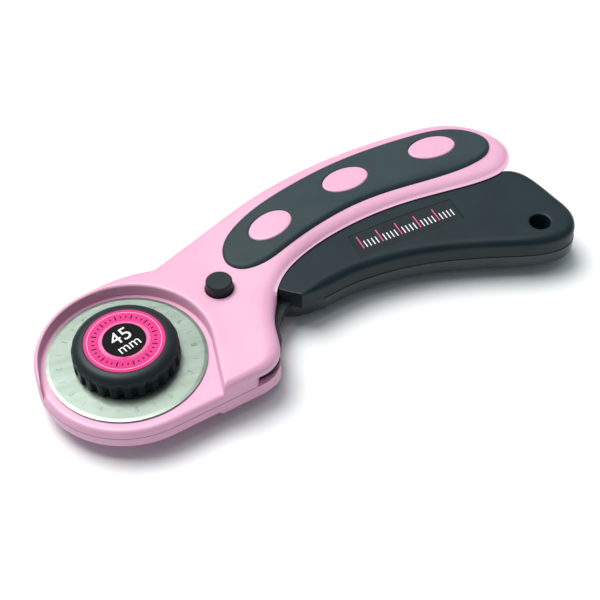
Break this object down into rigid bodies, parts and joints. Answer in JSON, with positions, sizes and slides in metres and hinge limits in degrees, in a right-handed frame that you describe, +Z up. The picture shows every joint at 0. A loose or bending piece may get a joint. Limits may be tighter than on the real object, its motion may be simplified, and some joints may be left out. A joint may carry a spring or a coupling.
{
  "type": "rotary cutter",
  "caption": "Hand-held fabric cutter: round blade on a squeeze lever beside a fixed guard, clamped by a fluted knob, with a cross-bolt safety lock.",
  "frame": {"origin": "under the middle of the object's box, on the plane of the rear grip that it lies on", "axes": "+X from the blade towards the handle's end, +Y away from the cutting edge side, +Z up out of the face with the knob"},
  "size_m": [0.167, 0.0782, 0.0192],
  "materials": {
    "pink_plastic": "satin moulded",
    "dark_grip": "matte soft-touch",
    "steel": "zinc plated",
    "spring_steel": "drawn wire",
    "black_steel": "black oxide",
    "dark_plastic": "moulded",
    "trigger_badge": "fine satin",
    "blade_steel": "ground",
    "knob_plastic": "moulded",
    "brass": "turned",
    "badge_print": "printed",
    "badge_foil": "metallic foil",
    "button_plastic": "moulded"
  },
  "bodies": {
    "body": {"front_shell": "pink_plastic", "rear_shell": "pink_plastic", "front_grip": "dark_grip", "rear_grip": "dark_grip", "pivot_pin": "steel", "pivot_washers": "steel", "body_screws": "steel", "detent_spring": "spring_steel"},
    "lever": {"lever_arm": "black_steel", "trigger_front_cover": "dark_plastic", "trigger_rear_cover": "dark_plastic", "trigger_badge": "trigger_badge", "trigger_screws": "steel", "return_spring": "spring_steel", "blade_bolt": "steel"},
    "cutter": {"blade": "blade_steel"},
    "washer": {"split_washer": "spring_steel"},
    "knob": {"clamp_knob": "knob_plastic", "knob_insert": "brass", "knob_badge": "badge_print", "badge_ring": "badge_foil"},
    "lock": {"lock_button": "button_plastic", "lock_button_cap": "button_plastic"}
  },
  "joints": [
    {"name": "squeeze", "type": "hinge", "parent": "body", "child": "lever", "pos_m": [-0.02187, -0.0197, 0.0083], "axis": [0, 0, 1], "range_deg": [0, 10.5], "stiffness_Nm_per_rad": 1.2, "springref_deg": -17.19},
    {"name": "blade_spin", "type": "hinge", "parent": "lever", "child": "cutter", "pos_m": [-0.05788, -0.0131, 0.0118], "axis": [0, 0, 1], "continuous": true},
    {"name": "knob_rise", "type": "slide", "parent": "lever", "child": "washer", "axis": [0, 0, 1], "range_m": [0, 0.003]},
    {"name": "knob_turn", "type": "hinge", "parent": "washer", "child": "knob", "pos_m": [-0.05788, -0.0131, 0.0148], "axis": [0, 0, 1], "range_deg": [0, 1080]},
    {"name": "lock_push", "type": "slide", "parent": "body", "child": "lock", "axis": [0, 0, -1], "range_m": [0, 0.003]}
  ],
  "couplings": [
    {"joint": "knob_rise", "follows": "knob_turn", "m_per_rad": 0.00015915}
  ]
}
